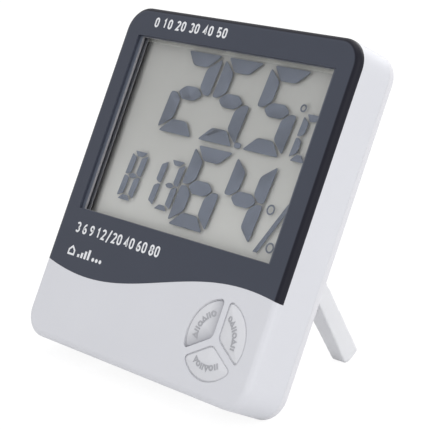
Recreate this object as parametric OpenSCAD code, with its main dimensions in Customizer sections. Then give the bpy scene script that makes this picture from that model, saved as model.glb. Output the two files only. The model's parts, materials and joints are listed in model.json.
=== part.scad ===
// Desk weather station clock: a slim leaning case with a large liquid crystal display,
// three keys round a Y-shaped rib, and a fold-out stand with two legs.
// The pieces are drawn in the case's own frame: X to the right, Y into the depth from the
// front face, Z up the face, from the centre of the face. in_case() then leans the case back
// on its rear lower edge and sets the origin under the middle of the whole object.

/* [Case] */
// Width of the case
case_w = 100; // [90:1:130]
// Height of the case along its face
case_h = 108; // [100:1:140]
// Depth of the case from front to back
case_d = 17.6; // [17.2:0.1:24]
// Radius of the case's corners seen from the front
corner_r = 8; // [5:0.5:12]
// Radius of the front edge
front_edge_r = 2; // [0.8:0.1:2.5]
// Radius of the rear edge
rear_edge_r = 2.2; // [0.8:0.1:2.6]
// Wall thickness of the case
wall = 2; // [1.6:0.1:2.4]
// Lean of the case when it stands, from upright
lean = 25.5; // [15:0.5:32]

/* [Display] */
// Width of the display window
window_w = 85.6; // [70:0.5:86]
// Height of the display window
window_h = 57.1; // [45:0.5:60]
// Distance of the window's top edge from the top of the case
window_top = 9.3; // [9:0.1:20]
// Depth of the dark bezel where it wraps the sides
bezel_d = 2.65; // [2.4:0.05:4]
// Depth of the lip of the bezel in front of the clear window
bezel_lip = 1.8; // [1:0.1:2]
// Height of the large digits
digit_h = 26; // [18:0.2:27]
// Thickness of one sheet of display glass
glass_t = 0.7; // [0.5:0.05:0.9]

/* [Keys] */
// Distance of the middle of the keys from the right side of the case
keys_side = 18; // [15:0.5:30]
// Distance of the middle of the keys from the bottom of the case
keys_bottom = 17; // [15:0.5:26]
// Radius of the ring of keys
keys_r = 11.6; // [8:0.2:14]
// Width of the rib between the keys
rib_w = 2.6; // [1.6:0.1:4]
// How far a key stands proud of the case
key_proud = 0.7; // [0.2:0.1:1.5]
// Radius of a key's domed top
key_dome_r = 55; // [40:1:90]
// How far a key travels
key_travel = 0.7; // [0.3:0.1:1]

/* [Stand] */
// Height of the stand's hinge above the middle of the case
hinge_up = 7.5; // [6:0.5:14]
// Width of the stand across its hinge
stand_root_w = 48; // [40:1:56]
// Width of the stand across its feet
stand_foot_w = 52.4; // [44:0.2:60]
// Width of a leg at the hinge
leg_root_w = 11; // [7:0.5:12]
// Width of a leg at the foot
leg_foot_w = 5.5; // [4:0.5:9]
// Thickness of a leg at the hinge
leg_root_t = 4.8; // [3.6:0.1:5.2]
// Thickness of a leg at the foot
leg_foot_t = 6.4; // [3.6:0.1:6.6]
// How far the folded feet reach below the case
foot_proud = 1.3; // [0:0.1:3]

/* [Battery] */
// Diameter of the cell
cell_dia = 10.5; // [10:0.1:10.6]
// Length of the cell with its nub
cell_len = 44.5; // [40:0.1:45]
// Thickness of the battery door
door_t = 1.3; // [1:0.1:1.5]

/* [Hidden] */
$fn = 48;
over = 0.5;
fit_gap = 0.3;
snug_gap = 0.1;

// The case: its halves meet near the back
rear_t = 3.2;
parting = case_d - rear_t;
inner_w = case_w - 2 * wall;
inner_h = case_h - 2 * wall;
inner_r = corner_r - wall;
tongue_t = 1;
tongue_len = 1.8;
back_in = case_d - wall;

// The wave where the bezel meets the pale face, as shares of the width and the height
wave_low_share = -0.30;
wave_high_share = 0.37;
wave_mid_share = -0.2458;
wave_rise_share = 0.0532;
wave_steps = 40;

// The display stack, from the window back to the board
window_up = case_h / 2 - window_top - window_h / 2;
window_edge = 1;
window_t = 0.8;
glass_edge = 1.5;
glass_front = bezel_d + snug_gap;
segment_t = 0.1;
segment_front = glass_front + glass_t;
rear_glass_front = segment_front + segment_t;
reflector_front = rear_glass_front + glass_t;
reflector_t = 0.2;
stack_back = reflector_front + reflector_t;
ledge = 2;
glass_w = window_w + 2 * glass_edge;
glass_low = window_up - window_h / 2 - glass_edge - fit_gap;
glass_top = window_up + window_h / 2 + glass_edge + ledge;
shelf_t = 1.6;
shelf_back = bezel_d + shelf_t;
holder_t = 2.15;
holder_bar = 1.9;
holder_lip = 1;
zebra_w_share = 0.82;
zebra_t = 1.3;
zebra_in = 0.2;
board_front = stack_back + holder_t;
board_t = 1.2;
board_back = board_front + board_t;
board_side = 0.2;
board_over = 1.6;
board_w = glass_w + 2 * (holder_bar + board_side);
board_top = glass_top + board_over;
key_board_in = 3.5;

// Screws
screw_in_w = 5.4;
screw_in_h = 4.6;
screw_head_r = 1.6;
screw_head_t = 1;
screw_r = 0.9;
screw_len = 8.5;
boss_r = 2;
rear_boss_r = 2.4;
head_gap = 0.15;
small_screw_r = 0.7;
small_head_r = 1.4;
small_head_t = 0.9;
small_screw_len = 3;
board_screw_up = window_up + window_h / 4;

// Keys
keys_x = case_w / 2 - keys_side;
keys_z = keys_bottom - case_h / 2;
key_gap = 0.25;
key_corner = 1.6;
key_flange = 0.7;
key_flange_t = 0.7;
key_stem_r = 2;
key_stem_len = 1;
key_stem_share = 0.58;
key_stem_out = keys_r * key_stem_share;
key_back = wall + fit_gap + key_flange_t;
key_angles = [150, 30, 270];
key_third = 60;
arc_steps = 12;
bend_steps = 4;
pad_clear = 0.2;
pad_base_t = 0.6;
pad_dome_r = key_stem_r + pad_base_t;

// The stand and its hinge
hinge_back = 0.2;
hinge_y = case_d - hinge_back - leg_root_t / 2;
leg_len = hinge_up + case_h / 2 + foot_proud;
leg_fillet = 4;
leg_corner_r = 1.3;
bar_roll = (sqrt(2) - 1) * leg_root_t / 2;
foot_in = leg_foot_t - leg_root_t / 2;
sole_in = 1.8;
sole_rise = 15;
pin_r = 1.5;
pin_len = 2;
pin_gap = 0.06;
pocket_floor = hinge_y - foot_in - fit_gap;
pocket_wall = 1;
ear_half = pin_r + pocket_wall;
ear_w = pin_len + pocket_wall;
floor_z = -(case_h / 2 - rear_edge_r) * cos(lean) - (case_d - rear_edge_r) * sin(lean) - rear_edge_r;
hinge_world_z = hinge_up * cos(lean) - hinge_y * sin(lean);
leg_tilt = acos((hinge_world_z - floor_z) / norm([leg_len, sole_in])) + atan(sole_in / leg_len);
stand_open = leg_tilt + lean;
heel_w = 16;
heel_in = 0.4;
heel_len = (foot_in + heel_in * cos(stand_open)) / sin(stand_open);
heel_sweep = norm([heel_len, leg_root_t / 2]);

// Battery bay
cell_r = cell_dia / 2;
cell_gap = 0.15;
cell_y = case_d - door_t - cell_gap - cell_r;
bay_side_gap = 0.35;
bay_half = cell_r + bay_side_gap;
bay_wall = 1;
bay_up = 1.2;
bay_low = wall + bay_up - case_h / 2;
spring_room = 5.7;
bay_len = cell_len + spring_room;
bay_top = bay_low + bay_len;
bay_floor = cell_y - cell_r - snug_gap;
bay_floor_t = 0.8;
bay_out = bay_half + bay_wall;
door_half = 8;
door_edge = 0.2;
door_axis_in = 1;
door_axis_gap = 0.4;
door_knuckle_r = 0.9;
door_pin_r = 0.5;
door_pin_len = 1;
door_axis_y = case_d - door_axis_in;
door_axis_z = bay_top + bay_wall + door_knuckle_r + door_axis_gap;
door_low = bay_low - bay_wall;
contact_t = 0.4;
contact_gap = 0.2;
nub_r = 2;
nub_len = 0.8;
latch_half = 2.5;
latch_t = 0.8;
latch_len = 1.6;
cell_low = bay_low + 2 * latch_t + contact_t + contact_gap;
cell_top = cell_low + cell_len;

// Openings of the rear cover
keyhole_z = 34;
keyhole_r = 4;
keyhole_slot_r = 2.1;
keyhole_len = 8;
vent_x = -31;
vent_z = 35;
vent_w = 14;
vent_h = 1.2;
vent_pitch = 2.6;
vent_count = 5;

// Small parts on the board
chip_at = [0, 27];
chip_r = 6;
chip_h = 1.8;
chip_curve_r = (chip_r * chip_r + chip_h * chip_h) / 2 / chip_h;
crystal_at = [17, 24];
crystal_r = 1;
crystal_len = 6;
sensor_size = [11, 4, 9];
sensor_rim = 1;
bead_at = [-40, 22];
bead_r = 1.2;
bead_up = 4;
lead_r = 0.25;
buzzer_at = [30, 30];
buzzer_r = 8;
buzzer_t = 0.4;
chip_part_size = [1.6, 0.8, 0.8];
chip_part_at = [[-10, 22], [-10, 25], [-10, 28], [10, 31], [10, 34], [24, 20], [27, 20], [-20, 18]];

// Leads: two from the battery's contacts and two from the buzzer, all to the board
wire_r = 0.5;
wire_bend = 1;
wire_y = board_back + wire_bend;
wire_x = bay_out + 3 * wire_r;
tab_half = 2 * wire_r;
tab_len = 2 * tab_half;
lead_room = contact_t + 2 * wire_bend + wire_r + fit_gap;
board_low = min(glass_low - holder_bar, bay_top - lead_room);
contact_wire_end = board_low + 2 * wire_bend;
spring_wire_end = bay_top + 3 * wire_bend;
buzzer_wire_pitch = 3;
buzzer_wire_out = 4;
buzzer_wire_len = 8;
buzzer_bend = back_in - buzzer_t - wire_y;

// The battery's spring
spring_turns = 3;
spring_wire_r = 0.35;
spring_low_r = 2.2;
spring_high_r = 4.2;
spring_steps = 10;
spring_sides = 6;

// The display's characters: sizes as shares of the large digit's height, and places as
// shares of the window's width and height from its low left corner
digit_w_share = 0.643;
stroke_share = 0.165;
upright_share = 0.2;
slant_share = 0.08;
soft_share = 0.25;
large_x_shares = [0.216, 0.427, 0.655];
large_z_share = 0.52;
low_x_shares = [0.424, 0.64];
low_z_share = 0.056;
low_h_share = 0.956;
small_x_shares = [0.126, 0.238, 0.329];
small_z_share = 0.111;
small_h_share = 0.6;
small_w_share = 0.44;
small_stroke_share = 0.1;
small_upright_share = 0.16;
unit_x_share = 0.884;
unit_h_share = 0.537;
unit_stroke_share = 0.145;
unit_upright_share = 0.185;
point_at_share = [0.639, 0.534];
point_w_share = 0.11;
point_h_share = 0.065;
degree_share = [0.88, 0.788];
percent_high_share = [0.886, 0.261];
percent_low_share = [0.937, 0.08];
slash_low_share = [0.867, 0.04];
slash_high_share = [0.954, 0.308];
segment_gap = 0.45;
degree_r = 1.2;
ring_r = 1.55;
ring_t = 0.5;
slash_t = 1.7;

// Foremost and rearmost points of the whole object, and the middle between them
front_low_y = (front_edge_r - case_h / 2) * sin(lean) + front_edge_r * (cos(lean) - 1);
foot_back = [leg_root_t / 2, (leg_root_t / 2 + sole_in) * tan(sole_rise) - leg_len];
foot_back_y = hinge_up * sin(lean) + hinge_y * cos(lean)
    + foot_back[0] * cos(leg_tilt) - foot_back[1] * sin(leg_tilt);
mid_y = (front_low_y + foot_back_y) / 2;

module in_case() {
    translate([0, -mid_y, -floor_z]) rotate([-lean, 0, 0]) children();
}

// A flat outline of the face, made solid from one depth to another
module slab(y0, y1) {
    translate([0, y1, 0]) rotate([90, 0, 0]) linear_extrude(height = y1 - y0) children();
}

// A round bar along the depth
module pillar(x, z, r, y0, y1) {
    translate([x, y1, z]) rotate([90, 0, 0]) cylinder(r = r, h = y1 - y0);
}

// A box from one depth to another, with its low left corner at x and z
module block(x, z, w, h, y0, y1) {
    translate([x, y0, z]) cube([w, y1 - y0, h]);
}

// A box as block() draws it, of a half width to both sides of the middle
module wide_block(half, z, h, y0, y1) {
    block(-half, z, 2 * half, h, y0, y1);
}

// A rectangle with round corners, about its centre
module round_rect(w, h, r) {
    square([w - 2 * r, h], center = true);
    square([w, h - 2 * r], center = true);
    for (sx = [-1, 1], sy = [-1, 1])
        translate([sx * (w / 2 - r), sy * (h / 2 - r)]) circle(r = r);
}

function unit(v) = v / norm(v);

// Points of a soft bend from a to c round the corner b
function bend(a, b, c) = [for (k = [0 : bend_steps]) let (s = k / bend_steps)
    (1 - s) * (1 - s) * a + 2 * s * (1 - s) * b + s * s * c];

// An outline's points with each corner bent over a reach
function softened(points, reach) = [for (k = [0 : len(points) - 1])
    let (n = len(points), b = points[k], last = points[(k + n - 1) % n], next = points[(k + 1) % n])
    each bend(b + reach * unit(last - b), b, b + reach * unit(next - b))];

// A bulging outline with round corners
module round_polygon(points, r) {
    n = len(points);
    to_last = [for (k = [0 : n - 1]) unit(points[(k + n - 1) % n] - points[k])];
    to_next = [for (k = [0 : n - 1]) unit(points[(k + 1) % n] - points[k])];
    half = [for (k = [0 : n - 1]) acos(to_last[k] * to_next[k]) / 2];
    polygon([for (k = [0 : n - 1], way = [to_last[k], to_next[k]]) points[k] + way * r / tan(half[k])]);
    for (k = [0 : n - 1])
        translate(points[k] + unit(to_last[k] + to_next[k]) * r / sin(half[k])) circle(r = r);
}

// Section of a plate's border, with its upper outer edge rounded
module edge_section(reach, t, r) {
    difference() {
        square([reach, t]);
        difference() {
            translate([reach - r, t - r]) square([r + over, r + over]);
            translate([reach - r, t - r]) circle(r = r);
        }
    }
}

// A plate with round corners and one soft edge, upwards from zero
module soft_plate(w, h, t, rc, re) {
    translate([-w / 2 + rc, -h / 2 + rc, 0]) cube([w - 2 * rc, h - 2 * rc, t]);
    for (turn = [0, 180]) rotate([0, 0, turn]) {
        translate([w / 2 - rc, h / 2 - rc, 0])
            rotate_extrude(angle = 90) edge_section(rc, t, re);
        translate([rc - w / 2, h / 2 - rc, 0])
            rotate([0, 0, 90]) rotate_extrude(angle = 90) edge_section(rc, t, re);
        translate([rc - w / 2, h / 2 - rc, 0]) rotate([90, 0, 90])
            linear_extrude(height = w - 2 * rc) edge_section(rc, t, re);
        translate([w / 2 - rc, h / 2 - rc, 0]) rotate([90, 0, 0])
            linear_extrude(height = h - 2 * rc) edge_section(rc, t, re);
    }
}

// The case's outer form from the front face to a depth
module front_form(depth) {
    translate([0, depth, 0]) rotate([90, 0, 0])
        soft_plate(case_w, case_h, depth, corner_r, front_edge_r);
}

// The case's outer form from a depth to the back
module rear_form(depth) {
    translate([0, depth, 0]) rotate([-90, 0, 0])
        soft_plate(case_w, case_h, case_d - depth, corner_r, rear_edge_r);
}

// Height of the wave at a place across the face
function wave(x) = case_h * (wave_mid_share + wave_rise_share
    * cos(180 * (wave_high_share - x / case_w) / (wave_high_share - wave_low_share)));

// Everything on the face above the wave
module above_wave() {
    side = case_w / 2 + over;
    polygon(concat(
        [for (k = [0 : wave_steps]) let (x = -side + 2 * side * k / wave_steps) [x, wave(x)]],
        [[side, case_h], [-side, case_h]]));
}

// One key's outline: a third of a disc less the rib, with soft corners, grown all round
module key_outline(turn, grow) {
    r = keys_r + grow;
    tip = (rib_w / 2 - grow) / sin(key_third);
    side = (sqrt(4 * r * r - 3 * tip * tip) - tip) / 2;
    corner = [tip + side * cos(key_third), side * sin(key_third)];
    last = atan2(corner[1], corner[0]) - asin(key_corner / r);
    arc = [for (k = [0 : arc_steps]) let (a = last * (2 * k / arc_steps - 1)) r * [cos(a), sin(a)]];
    along = [cos(key_third), sin(key_third)];
    high = bend(arc[arc_steps], corner, corner - key_corner * along);
    low = [for (k = [bend_steps : -1 : 0]) [high[k][0], -high[k][1]]];
    near = [tip, 0] + key_corner * along;
    inner = bend(near, [tip, 0], [near[0], -near[1]]);
    rotate([0, 0, turn]) polygon(concat(inner, low, arc, high));
}

// Places of the screws that close the case
module at_case_screws() {
    for (sx = [-1, 1], sz = [-1, 1])
        translate([sx * (case_w / 2 - screw_in_w), 0, sz * (case_h / 2 - screw_in_h)]) children();
}

// Places of the screws that hold the board on the display's holder
module at_board_screws() {
    for (sx = [-1, 1], z = [glass_low + holder_bar, board_screw_up])
        translate([sx * (glass_w / 2 + holder_bar / 2), 0, z]) children();
}

module front_shell() color("#d6d7dc") {
    difference() {
        union() {
            difference() {
                front_form(parting);
                slab(shelf_back, parting + over) intersection() {
                    round_rect(inner_w, inner_h, inner_r);
                    above_wave();
                }
                slab(wall, parting + over) difference() {
                    round_rect(inner_w, inner_h, inner_r);
                    translate([0, wall]) above_wave();
                }
            }
            at_case_screws() pillar(0, 0, boss_r, wall, parting);
        }
        slab(-over, bezel_d) above_wave();
        stand_pocket(fit_gap);
        wide_block(glass_w / 2 + snug_gap, glass_low - snug_gap,
            glass_top - glass_low + 2 * snug_gap, bezel_d - over, shelf_back + over);
        at_case_screws() pillar(0, 0, screw_r + pin_gap, case_d - screw_head_t - screw_len, parting + over);
        translate([keys_x, 0, keys_z]) for (turn = key_angles)
            slab(-over, wall + over) key_outline(turn, key_gap);
    }
}

module display_bezel() color("#4a4f5e") {
    seat = 2 * (window_edge + snug_gap);
    difference() {
        intersection() {
            front_form(bezel_d);
            slab(-over, bezel_d + over) above_wave();
        }
        translate([0, 0, window_up]) {
            slab(-over, bezel_d + over) square([window_w, window_h], center = true);
            slab(bezel_lip, bezel_d + over) square([window_w + seat, window_h + seat], center = true);
        }
    }
}

module display_window() color("#dfe4e6", 0.35) {
    translate([0, 0, window_up]) slab(bezel_lip, bezel_lip + window_t)
        square([window_w + 2 * window_edge, window_h + 2 * window_edge], center = true);
}

module lcd_cell() color("#c9d0cf", 0.35) {
    wide_block(glass_w / 2, glass_low, glass_top - glass_low, glass_front, segment_front);
    wide_block(glass_w / 2, glass_low, glass_top - glass_low - ledge, rear_glass_front, reflector_front);
}

module lcd_reflector() color("#adafab") {
    wide_block(glass_w / 2, glass_low, glass_top - glass_low - ledge, reflector_front, stack_back);
}

// The bars that are lit for each character: top, upper right, lower right, bottom, lower
// left, upper left, middle
LIT = [[1, 1, 1, 1, 1, 1, 0], [0, 1, 1, 0, 0, 0, 0], [1, 1, 0, 1, 1, 0, 1], [1, 1, 1, 1, 0, 0, 1],
    [0, 1, 1, 0, 0, 1, 1], [1, 0, 1, 1, 0, 1, 1], [1, 0, 1, 1, 1, 1, 1], [1, 1, 1, 0, 0, 0, 0],
    [1, 1, 1, 1, 1, 1, 1], [1, 1, 1, 1, 0, 1, 1], [1, 0, 0, 1, 1, 1, 0]];
letter_c = 10;

function in_window(share) = [(share[0] - 0.5) * window_w, window_up + (share[1] - 0.5) * window_h];

// The middle bar of a character, pointed at both ends
module middle_bar(w, t, side) {
    tip = side / 2 + segment_gap;
    end = side + segment_gap;
    polygon(softened([[tip, 0], [end, t / 2], [w - end, t / 2], [w - tip, 0], [w - end, -t / 2],
        [end, -t / 2]], t * soft_share));
}

// A top or bottom bar, wide on the outside
module outer_bar(w, t, side) {
    tip = 2 * segment_gap;
    polygon(softened([[tip, 0], [w - tip, 0], [w - side, -t], [side, -t]], t * soft_share));
}

// An upright bar of half the height, down from zero, its outer side at zero
module upright_bar(h, t, side) {
    low = (segment_gap - h) / 2;
    polygon(softened([[0, -2 * segment_gap], [0, low], [side / 2, low], [side, low + t / 2],
        [side, -t - segment_gap]], t * soft_share));
}

// A seven-bar character of height h and width w, from its low left corner, with the
// thickness of its level bars and the width of its upright bars
module digit(value, h, w, t, side) {
    lit = LIT[value];
    multmatrix([[1, slant_share, 0, 0], [0, 1, 0, 0], [0, 0, 1, 0]]) {
        if (lit[0]) translate([0, h]) outer_bar(w, t, side);
        if (lit[1]) translate([w, h]) mirror([1, 0]) upright_bar(h, t, side);
        if (lit[2]) translate([w, 0]) mirror([1, 0]) mirror([0, 1]) upright_bar(h, t, side);
        if (lit[3]) mirror([0, 1]) outer_bar(w, t, side);
        if (lit[4]) mirror([0, 1]) upright_bar(h, t, side);
        if (lit[5]) translate([0, h]) upright_bar(h, t, side);
        if (lit[6]) translate([0, h / 2]) middle_bar(w, t, side);
    }
}

module ring(r) {
    difference() {
        circle(r = r);
        circle(r = r - ring_t);
    }
}

module percent_sign() {
    low = in_window(slash_low_share);
    high = in_window(slash_high_share);
    translate(in_window(percent_high_share)) ring(ring_r);
    translate(in_window(percent_low_share)) ring(ring_r);
    polygon([low, low + [slash_t, 0], high + [slash_t, 0], high]);
}

module decimal_point() {
    w = digit_h * point_w_share;
    h = digit_h * point_h_share;
    translate(in_window(point_at_share))
        polygon(softened([[-w / 2, -h / 2], [w / 2, -h / 2], [w / 2, h / 2], [-w / 2, h / 2]], h / 2));
}

module lcd_segments() color("#5f6573") {
    w = digit_h * digit_w_share;
    low_h = digit_h * low_h_share;
    small_h = digit_h * small_h_share;
    unit_h = digit_h * unit_h_share;
    t = digit_h * stroke_share;
    side = digit_h * upright_share;
    slab(segment_front, rear_glass_front) {
        for (k = [0 : 2])
            translate(in_window([large_x_shares[k], large_z_share])) digit([2, 5, 5][k], digit_h, w, t, side);
        for (k = [0 : 1])
            translate(in_window([low_x_shares[k], low_z_share])) digit([6, 4][k], low_h, w, t, side);
        for (k = [0 : 2])
            translate(in_window([small_x_shares[k], small_z_share])) digit([8, 1, 3][k], small_h,
                w * small_w_share, small_h * small_stroke_share, small_h * small_upright_share);
        translate(in_window([unit_x_share, large_z_share])) digit(letter_c, unit_h,
            w * small_w_share, unit_h * unit_stroke_share, unit_h * unit_upright_share);
        translate(in_window(degree_share)) ring(degree_r);
        decimal_point();
        percent_sign();
    }
}

// Where the battery bay passes through the holder and the board, up to a height
module bay_passage(top, y0, y1) {
    wide_block(bay_out + fit_gap, board_low - over, top - board_low + over, y0 - over, y1 + over);
}

module lcd_holder() color("#e4e4e2") {
    difference() {
        wide_block(board_w / 2, board_low, board_top - board_low, stack_back, board_front);
        wide_block(window_w / 2, glass_low + holder_lip, window_h, stack_back - over, board_front + over);
        bay_passage(glass_low + holder_bar, stack_back, board_front);
        zebra_block(fit_gap);
        at_case_screws() pillar(0, 0, boss_r + fit_gap, stack_back - over, board_front + over);
        at_board_screws() pillar(0, 0, small_screw_r + pin_gap, stack_back - over, board_front + over);
    }
}

// The rubber connector's place, grown by a clearance
module zebra_block(grow) {
    wide_block(glass_w * zebra_w_share / 2 + grow, glass_top - zebra_in - zebra_t - grow,
        zebra_t + 2 * grow, segment_front - grow, board_front + grow);
}

module zebra_strip() color("#3c3c40") {
    zebra_block(0);
}

module main_board() color("#2f6b46") {
    key_part_x = bay_out + key_board_in;
    key_part_low = boss_r + screw_in_h + fit_gap - case_h / 2;
    difference() {
        union() {
            wide_block(board_w / 2, board_low, board_top - board_low, board_front, board_back);
            block(key_part_x, key_part_low, board_w / 2 - key_part_x, board_low - key_part_low + over,
                board_front, board_back);
        }
        bay_passage(bay_top + bay_wall + fit_gap, board_front, board_back);
        at_case_screws() pillar(0, 0, boss_r + fit_gap, board_front - over, board_back + over);
        at_board_screws() pillar(0, 0, small_screw_r + pin_gap, board_front - over, board_back + over);
    }
}

module driver_chip() color("#1c1c1e") {
    translate([chip_at[0], board_back, chip_at[1]]) rotate([-90, 0, 0])
        rotate_extrude() intersection() {
            square([chip_r, chip_h]);
            translate([0, chip_h - chip_curve_r]) circle(r = chip_curve_r, $fn = 96);
        }
}

module crystal() color("#b9bcc0") {
    translate([crystal_at[0], board_back + crystal_r, crystal_at[1]])
        cylinder(r = crystal_r, h = crystal_len);
}

module chip_parts() color("#8a6a4a") {
    for (at = chip_part_at)
        block(at[0], at[1], chip_part_size[0], chip_part_size[2], board_back, board_back + chip_part_size[1]);
}

// Slots of a grille in line with the vents of the rear cover
module vent_slots(count, w, y0, y1) {
    for (k = [0 : count - 1])
        block(vent_x - w / 2, vent_z + (k - (count - 1) / 2) * vent_pitch - vent_h / 2, w, vent_h, y0, y1);
}

module humidity_sensor() color("#eceae4") {
    back = board_back + sensor_size[1];
    difference() {
        block(vent_x - sensor_size[0] / 2, vent_z - sensor_size[2] / 2, sensor_size[0], sensor_size[2],
            board_back, back);
        vent_slots(vent_count - 2, sensor_size[0] - 2 * sensor_rim, back - sensor_rim, back + over);
    }
}

module temperature_sensor() color("#2a2a2c") {
    translate([bead_at[0], board_back + bead_up, bead_at[1]]) sphere(r = bead_r);
    for (sx = [-1, 1])
        pillar(bead_at[0] + sx * bead_r / 2, bead_at[1], lead_r, board_back, board_back + bead_up);
}

module buzzer_disc() color("#c8a24a") {
    pillar(buzzer_at[0], buzzer_at[1], buzzer_r, back_in - buzzer_t, back_in);
}

module key_pad() color("#5a5c60") {
    top = key_back + key_stem_len + key_travel + pad_clear;
    translate([keys_x, 0, keys_z]) {
        difference() {
            pillar(0, 0, keys_r, board_front - pad_base_t, board_front);
            pillar(0, 0, key_stem_r, board_front - pad_base_t - over, board_front + over);
        }
        for (turn = key_angles) rotate([0, -turn, 0])
            pillar(key_stem_out, 0, pad_dome_r, top, board_front - pad_base_t + snug_gap);
    }
}

// A key: its domed top, the flange that keeps it in the case, and its stem
module key(turn) color("#d9dade") {
    translate([keys_x, 0, keys_z]) {
        intersection() {
            slab(-key_proud - over, key_back) key_outline(turn, 0);
            rotate([0, -turn, 0]) translate([key_stem_out, key_dome_r - key_proud, 0])
                sphere(r = key_dome_r, $fn = 128);
        }
        slab(wall + fit_gap, key_back) key_outline(turn, key_flange);
        rotate([0, -turn, 0])
            pillar(key_stem_out, 0, key_stem_r, key_back, key_back + key_stem_len);
    }
}

// The stand seen from behind, grown by a clearance, with a radius for its outer corners and
// more room where its bar rolls
module stand_outline(grow, corner, roll) {
    slant = (stand_foot_w - stand_root_w) / 2 / leg_len;
    in_slant = slant + (leg_root_w - leg_foot_w) / leg_len;
    top = leg_root_t / 2 + grow;
    low = -leg_len - grow;
    arch = -leg_root_t / 2 - grow - roll;
    far = low - leg_fillet;
    out = stand_root_w / 2 + grow;
    in = stand_root_w / 2 - leg_root_w - grow;
    difference() {
        round_polygon([[-out + slant * top, top], [-out + slant * low, low], [out - slant * low, low],
            [out - slant * top, top]], corner);
        round_polygon([[-in + in_slant * arch, arch], [-in + in_slant * far, far],
            [in - in_slant * far, far], [in - in_slant * arch, arch]], leg_fillet - grow);
    }
}

// The recess that takes the folded stand, grown by a clearance
module stand_pocket(grow) {
    floor_y = pocket_floor + fit_gap - grow;
    translate([0, 0, hinge_up]) {
        slab(floor_y, case_d + over) stand_outline(grow, grow, bar_roll);
        wide_block(heel_w / 2 + grow, 0, heel_sweep + grow, floor_y, case_d + over);
    }
}

// Ears that carry the stand's pins
module hinge_ears() {
    for (sx = [-1, 1])
        translate([sx * (stand_root_w / 2 + fit_gap + ear_w / 2), 0, 0])
            wide_block(ear_w / 2, hinge_up - ear_half, 2 * ear_half, hinge_y - ear_half, back_in + over);
}

// The slot or the tab that takes a contact through the bay's left wall
module contact_tab(z, grow) {
    block(-bay_out - tab_len - grow, z - grow, bay_wall + tab_len + bay_side_gap + grow,
        contact_t + 2 * grow, wire_y - tab_half - grow, wire_y + tab_half + grow);
}

module rear_cover() color("#dcdce0") {
    difference() {
        union() {
            difference() {
                rear_form(parting);
                slab(parting - over, back_in) round_rect(inner_w, inner_h, inner_r);
            }
            slab(parting - tongue_len, parting + over) difference() {
                round_rect(inner_w - 2 * snug_gap, inner_h - 2 * snug_gap, inner_r - snug_gap);
                round_rect(inner_w - 2 * tongue_t, inner_h - 2 * tongue_t, inner_r - tongue_t);
                for (sx = [-1, 1], sz = [-1, 1])
                    translate([sx * (case_w / 2 - screw_in_w), sz * (case_h / 2 - screw_in_h)])
                        circle(r = boss_r + fit_gap);
            }
            intersection() {
                stand_pocket(fit_gap + pocket_wall);
                slab(0, back_in + over) round_rect(inner_w - 2 * snug_gap, inner_h - 2 * snug_gap, inner_r);
            }
            hinge_ears();
            wide_block(bay_out, door_low, bay_len + 2 * bay_wall, bay_floor - bay_floor_t, back_in + over);
            at_case_screws() pillar(0, 0, rear_boss_r, parting, back_in + over);
        }
        stand_pocket(fit_gap);
        translate([0, hinge_y, hinge_up]) rotate([0, 90, 0])
            cylinder(r = pin_r + pin_gap, h = stand_root_w + 2 * (fit_gap + pin_len), center = true);
        wide_block(bay_half, bay_low, bay_len, bay_floor, case_d + over);
        contact_tab(cell_low - contact_t, snug_gap);
        contact_tab(bay_top - contact_t, snug_gap);
        wide_block(door_half + door_edge, door_low, door_axis_z + door_axis_in + door_edge - door_low,
            case_d - door_t - snug_gap, case_d + over);
        translate([0, door_axis_y, door_axis_z]) rotate([0, 90, 0]) {
            cylinder(r = door_axis_in + door_edge, h = 2 * (door_half + door_edge), center = true);
            cylinder(r = door_pin_r + pin_gap, h = 2 * (door_half + door_edge + door_pin_len), center = true);
        }
        slab(back_in - over, case_d + over) keyhole();
        vent_slots(vent_count, vent_w, back_in - over, case_d + over);
        at_case_screws() {
            pillar(0, 0, screw_r + head_gap, parting - over, case_d);
            pillar(0, 0, screw_head_r + head_gap, case_d - screw_head_t - snug_gap, case_d + over);
        }
    }
}

module keyhole() {
    translate([0, keyhole_z]) {
        circle(r = keyhole_r);
        translate([-keyhole_slot_r, 0]) square([2 * keyhole_slot_r, keyhole_len]);
        translate([0, keyhole_len]) circle(r = keyhole_slot_r);
    }
}

module battery_door() color("#dcdce0") {
    low = door_low + door_edge;
    wide_block(door_half, low, door_axis_z - low, case_d - door_t, case_d);
    translate([0, door_axis_y, door_axis_z]) rotate([0, 90, 0]) {
        cylinder(r = door_knuckle_r, h = 2 * door_half, center = true);
        cylinder(r = door_pin_r, h = 2 * (door_half + door_edge + door_pin_len - snug_gap), center = true);
    }
    wide_block(latch_half, bay_low + door_edge, latch_t, case_d - door_t - latch_len, case_d);
}

module battery_cell() color("#8f9a56") {
    translate([0, cell_y, cell_low]) {
        translate([0, 0, nub_len]) cylinder(r = cell_r - snug_gap, h = cell_len - nub_len);
        cylinder(r = nub_r, h = nub_len + over);
    }
}

module battery_contact() color("#c9ccd0") {
    wide_block(bay_half - snug_gap, cell_low - contact_t, contact_t,
        bay_floor, case_d - door_t - latch_len - fit_gap);
    contact_tab(cell_low - contact_t, 0);
}

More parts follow.
